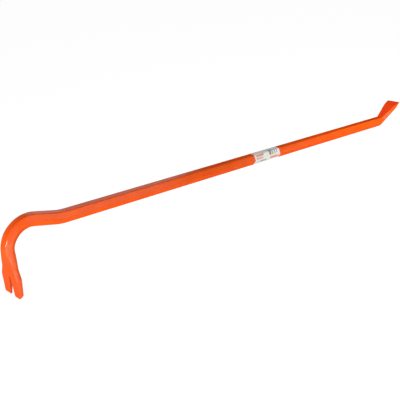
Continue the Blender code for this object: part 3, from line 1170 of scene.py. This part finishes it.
@dataclass(frozen=True)
class GlossPaint:
    """Glossy orange paint, sprayed on forged steel: fine orange peel over long shallow forging waves.

    clouds, grain, peel and wave are patterns, each by its scale and its detail.
    """

    colour: Colour = (0.88, 0.098, 0.006, 1.0)
    thin_colour: Colour = (0.83, 0.088, 0.005, 1.0)
    clouds: Span = (35.0, 3.0)
    clouds_between: Span = (0.35, 0.7)
    roughness: Span = (0.15, 0.21)
    grain: Span = (140.0, 2.0)
    grain_between: Span = (0.3, 0.7)
    refraction: float = 1.42
    peel: Span = (700.0, 1.0)
    peel_height: float = 0.001 * MM
    wave: Span = (25.0, 1.0)
    wave_height: float = 0.02 * MM
    # Painted shade: a darker colour on the slot's walls, where less light reaches
    slot_shade_colour: Colour = (0.72, 0.066, 0.004, 1.0)
    slot_edge: float = 0.3 * MM
    # Painted shade: a darker, redder colour on the chisel's upper face, picked by the way that face leans
    chisel_shade_colour: Colour = (0.90, 0.055, 0.001, 1.0)
    chisel_shade_from: Span = (0.425, 0.445)
    chisel_shade_lean: Span = (-0.3, -0.1)
    chisel_shade_rise: Span = (0.5, 0.75)
    claw_roughness: float = 0.23
    claw_before: Span = (-0.46, -0.44)
    claw_below: Span = (0.066, 0.080)

    def painted_slot_shade(self, sheet: NodeSheet, slot: NailSlot) -> Socket:
        """Where shade is painted into the slot: 1 between the slot's walls and 0 away from it.

        Half the slot's width shrinks in a straight line from the mouth to the root's circle. The claw
        stands nearly upright on its tips, so heights are taken from the floor.

        Args:
            sheet: the paint's nodes.
            slot: the slot.

        Returns:
            The share of painted shade.
        """
        narrowing = (slot.mouth / 2 - slot.root_radius) / slot.centre_up
        half = sheet.math("MULTIPLY_ADD", sheet.spot["Z"], -narrowing, slot.mouth / 2)
        aside = sheet.math("ABSOLUTE", sheet.math("SUBTRACT", sheet.spot["Y"], slot.offset))
        inside = sheet.spread(sheet.math("SUBTRACT", half, aside), (-self.slot_edge, 0.0))
        below = sheet.spread(sheet.spot["Z"], (slot.length, slot.length + self.slot_edge), 1.0, 0.0)
        return sheet.product(inside, below)

    def painted_chisel_shade(self, sheet: NodeSheet) -> Socket:
        """Where shade is painted: a darker, redder tone on the chisel's upper face, which leans to -X.

        The share is the product of three ramps: the normal's lean to -X, its rise, and the place in X.

        Args:
            sheet: the paint's nodes.

        Returns:
            The share of painted shade.
        """
        normal = sheet.split(sheet.add("NewGeometry").outputs["Normal"])
        leaning = sheet.spread(normal["X"], self.chisel_shade_lean, 1.0, 0.0)
        upward = sheet.spread(normal["Z"], self.chisel_shade_rise)
        beyond = sheet.spread(sheet.spot["X"], self.chisel_shade_from)
        return sheet.product(leaning, upward, beyond)

    def on_claw(self, sheet: NodeSheet) -> Socket:
        """How much rougher the paint is on the claw: a ramp in X times one in height.

        Args:
            sheet: the paint's nodes.

        Returns:
            What is added to its roughness.
        """
        hooked = sheet.spread(sheet.spot["X"], self.claw_before, 1.0, 0.0)
        low = sheet.spread(sheet.spot["Z"], self.claw_below, self.claw_roughness, 0.0)
        return sheet.product(hooked, low)

    def material(self, slot: NailSlot) -> bpy.types.Material:
        """The paint's nodes.

        Args:
            slot: the slot whose walls get painted shade.

        Returns:
            The material.
        """
        sheet = NodeSheet(bpy.data.materials.new("gloss_orange_paint"))
        thin = sheet.spread(sheet.noise(*self.clouds), self.clouds_between)
        colour = sheet.mix(thin, self.colour, self.thin_colour)
        # Painted shade: the slot's walls are given a darker colour
        colour = sheet.mix(self.painted_slot_shade(sheet, slot), colour, self.slot_shade_colour)
        # Painted shade: the chisel's upper face, picked by its lean, is given a darker, redder colour
        colour = sheet.mix(self.painted_chisel_shade(sheet), colour, self.chisel_shade_colour)
        grain = sheet.spread(sheet.noise(*self.grain), self.grain_between, *self.roughness)
        wave = sheet.relief(sheet.noise(*self.wave), self.wave_height)
        feeds = {
            "Base Color": colour,
            "Roughness": sheet.math("ADD", grain, self.on_claw(sheet)),
            "Normal": sheet.relief(sheet.noise(*self.peel), self.peel_height, wave),
            "IOR": self.refraction,
        }
        return sheet.finish(sheet.add("BsdfPrincipled", feeds))


@dataclass(frozen=True)
class PrintedBar:
    """One plain printed bar or block of the label, in shares along it and round it."""

    along: Span
    around: Span
    colour: Colour


@dataclass(frozen=True)
class PrintedFilm:
    """White satin film, a little crinkled, printed with plain bars."""

    white: Colour = (0.76, 0.76, 0.73, 1.0)
    dark_grey: Colour = (0.20, 0.20, 0.17, 1.0)
    grey: Colour = (0.30, 0.31, 0.27, 1.0)
    pale_grey: Colour = (0.50, 0.49, 0.45, 1.0)
    orange: Colour = (0.68, 0.24, 0.11, 1.0)
    pale_orange: Colour = (0.67, 0.45, 0.36, 1.0)
    roughness: float = 0.42
    softness: float = 0.004
    crinkle: Span = (160.0, 2.0)
    crinkle_height: float = 0.05 * MM

    def bars(self) -> list[PrintedBar]:
        """The printed bars. 0.31 of the way round is the top flat, 0.48 the near upper, 0.64 the lower.

        Returns:
            The bars, in the order that they are laid on.
        """
        upright = [(0.68, 0.725), (0.75, 0.765), (0.79, 0.825)]
        return [
            PrintedBar((0.06, 0.35), (0.408, 0.458), self.orange),
            PrintedBar((0.05, 0.31), (0.478, 0.540), self.pale_orange),
            PrintedBar((0.06, 0.20), (0.615, 0.665), self.pale_grey),
            PrintedBar((0.20, 0.48), (0.585, 0.650), self.grey),
            PrintedBar((0.58, 0.655), (0.330, 0.505), self.dark_grey),
            *(PrintedBar(along, (0.345, 0.505), self.grey) for along in upright),
            PrintedBar((0.87, 0.905), (0.360, 0.485), self.grey),
            PrintedBar((0.59, 0.955), (0.548, 0.632), self.orange),
        ]

    def within(self, sheet: NodeSheet, value: Socket, bounds: Span) -> Socket:
        """1 between two bounds and 0 outside them, with soft edges."""
        start, end = ((bound - self.softness, bound + self.softness) for bound in bounds)
        return sheet.product(sheet.spread(value, start), sheet.spread(value, end, 1.0, 0.0))

    def material(self) -> bpy.types.Material:
        """The film's nodes: each bar is laid over the white where its two ramps are both on.

        Returns:
            The material.
        """
        sheet = NodeSheet(bpy.data.materials.new("printed_label_film"))
        spot = sheet.split(sheet.add("UVMap", uv_map=PRINT_MAP).outputs[0])
        colour: Feed = self.white
        for bar in self.bars():
            along = self.within(sheet, spot["X"], bar.along)
            around = self.within(sheet, spot["Y"], bar.around)
            colour = sheet.mix(sheet.product(along, around), colour, bar.colour)
        feeds = {
            "Base Color": colour,
            "Roughness": self.roughness,
            "Normal": sheet.relief(sheet.noise(*self.crinkle), self.crinkle_height),
        }
        return sheet.finish(sheet.add("BsdfPrincipled", feeds))


class Role(Enum):
    """What a lamp does: it lights the bar and isn't mirrored, or it only shines as a highlight."""

    LIGHT = "light"
    SHINE = "shine"


@dataclass(frozen=True)
class SoftLamp:
    """A softbox: where it stands, what it faces, its width and height, its power and its role."""

    name: str
    place: Place
    facing: Place
    size: Span
    power: float
    role: Role = Role.LIGHT

    def build(self) -> None:
        """Adds the lamp to the scene, turned to what it faces."""
        light = bpy.data.lights.new(self.name, "AREA")
        light.shape = "RECTANGLE"
        light.size, light.size_y = self.size
        light.energy = self.power
        lamp = add_object(self.name, light)
        lamp.location = self.place
        lamp.visible_diffuse = self.role is Role.LIGHT
        lamp.visible_glossy = self.role is Role.SHINE
        aim = Vector(self.facing) - Vector(self.place)
        lamp.rotation_euler = aim.to_track_quat("-Z", "Y").to_euler()


@dataclass(frozen=True)
class Studio:
    """The white sweep that the bar stands on, its lamps, and the camera.

    The sky fades with the X and the Y of its directions, between sky_turns and front_turns.
    """

    focal_pixels: float = 670.1655
    camera_place: Place = (-0.847573, -0.805344, 0.483092)
    camera_right: Place = (0.719499, -0.690214, -0.076973)
    camera_forward: Place = (0.612802, 0.683108, -0.397288)
    camera_nearest: float = 0.01
    floor_size: float = 12.0
    floor_grey: float = 0.30
    floor_white: float = 0.88
    floor_bounce: float = 1.0
    mirrored_white: float = 3.2
    mirrored_round: Place = (-0.66, -0.27, 0.0)
    mirrored_reach: Span = (0.12, 0.27)
    white: Colour = (1.0, 1.0, 1.0, 1.0)
    sky_fill: float = 0.47
    sky_mirrored: float = 0.08
    sky_turns: Span = (0.40, 0.92)
    front_turns: Span = (-0.8, -0.1)
    front_share: float = 0.15
    lamps: tuple[SoftLamp, ...] = (
        SoftLamp("hook_highlight", (-2.07, -1.59, 0.18), (-0.5, 0.0, 0.08), (1.63, 0.34), 40.0, Role.SHINE),
        SoftLamp("back_highlight", (0.65, 1.35, 0.85), (0.65, 0.0, 0.85), (1.50, 1.0), 3.8, Role.SHINE),
        SoftLamp("front_highlight", (0.64, -1.70, 0.58), (-0.3, 0.0, 0.06), (1.04, 0.5), 2.05, Role.SHINE),
        SoftLamp("left_softbox", (-2.89, -0.73, 0.25), (-0.5, 0.0, 0.06), (0.5, 0.46), 39.5),
        SoftLamp("claw_fill", (-0.46, -0.45, 0.10), (-0.45, 0.0, 0.04), (0.2, 0.2), 0.70),
        SoftLamp("chisel_fill", (0.44, -0.36, 0.10), (0.36, 0.0, 0.03), (0.25, 0.15), 1.2),
        SoftLamp("hook_top_light", (-0.64, -0.08, 0.36), (-0.48, 0.0, 0.1), (0.12, 0.12), 0.12),
        SoftLamp("chisel_top_light", (0.32, -0.15, 0.75), (0.4, 0.0, 0.05), (0.3, 0.3), 1.4),
    )

    def build(self) -> None:
        """The whole studio."""
        self.add_floor()
        self.add_sky()
        for lamp in self.lamps:
            lamp.build()
        self.add_camera()

    def add_floor(self) -> None:
        """A wide pale floor that shows white to the camera and keeps the bar's soft shadow.

        What the paint mirrors of it is white in a round patch before the claw, and dark elsewhere.
        """
        half = self.floor_size / 2
        corners = [(-half, -half, 0.0), (half, -half, 0.0), (half, half, 0.0), (-half, half, 0.0)]
        mesh = bpy.data.meshes.new("studio_floor")
        mesh.from_pydata(corners, [], [(0, 1, 2, 3)])
        sheet = NodeSheet(bpy.data.materials.new("studio_white"))
        sheet.owner.cycles.emission_sampling = "NONE"
        feeds = {0: sheet.place, 1: self.mirrored_round}
        aside = sheet.add("VectorMath", feeds, operation="DISTANCE")
        shown = sheet.spread(aside.outputs["Value"], self.mirrored_reach, self.mirrored_white, 0.0)
        white = sheet.product(sheet.seen, self.floor_white)
        bounce = sheet.product(sheet.rays["Is Diffuse Ray"], self.floor_bounce)
        mirrored = sheet.product(sheet.rays["Is Glossy Ray"], shown)
        strength = sheet.math("MAXIMUM", white, sheet.math("MAXIMUM", bounce, mirrored))
        grey = sheet.math("MULTIPLY_ADD", sheet.rays["Is Glossy Ray"], -self.floor_grey, self.floor_grey)
        paper = sheet.add("BsdfDiffuse", {"Color": grey})
        glow = sheet.add("Emission", {"Strength": strength})
        paint = sheet.finish(sheet.add("AddShader", {0: paper.outputs[0], 1: glow.outputs[0]}))
        add_piece("studio_floor", mesh, paint)

    def add_sky(self) -> None:
        """A soft surround, dim in front and dark past the chisel, and white to the camera."""
        world = bpy.data.worlds.new("studio_surround")
        bpy.context.scene.world = world
        sheet = NodeSheet(world)
        direction = sheet.split(sheet.add("TexCoord").outputs["Generated"])
        side = sheet.spread(direction["X"], self.sky_turns, 1.0, 0.0)
        front = sheet.spread(direction["Y"], self.front_turns, self.front_share)
        level = sheet.spread(sheet.rays["Is Glossy Ray"], (0.0, 1.0), self.sky_fill, self.sky_mirrored)
        strength = sheet.product(side, front, level)
        surround = sheet.add("Background", {"Color": self.white, "Strength": strength})
        white = sheet.add("Background", {"Color": self.white})
        feeds = {0: sheet.seen, 1: surround.outputs[0], 2: white.outputs[0]}
        sheet.finish(sheet.add("MixShader", feeds))

    def add_camera(self) -> None:
        """The camera where it stood for the photograph, from a fit to the bar's outline.

        Its lens is as long as the sensor is wide, times the fit's focal length in widths of the picture.
        """
        data = bpy.data.cameras.new("studio_camera")
        data.sensor_fit = "HORIZONTAL"
        data.sensor_width = SENSOR_WIDTH
        data.lens = self.focal_pixels / PHOTO_WIDTH * SENSOR_WIDTH
        data.clip_start = self.camera_nearest
        camera = add_object("studio_camera", data)
        right, forward = Vector(self.camera_right), Vector(self.camera_forward)
        turn = Matrix((right, right.cross(forward), -forward)).transposed().to_4x4()
        camera.matrix_world = Matrix.Translation(Vector(self.camera_place)) @ turn
        bpy.context.scene.camera = camera


def main() -> None:
    """Builds the bar, the label and the studio."""
    logging.basicConfig(level=logging.INFO, format="%(name)s %(message)s")
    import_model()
    bar = ForgedBar()
    placement = bar.build(GlossPaint().material(bar.slot))
    WrapLabel(bar).build(placement, PrintedFilm().material())
    Studio().build()
    bpy.context.scene.view_settings.view_transform = "Standard"


if __name__ == "__main__":
    main()
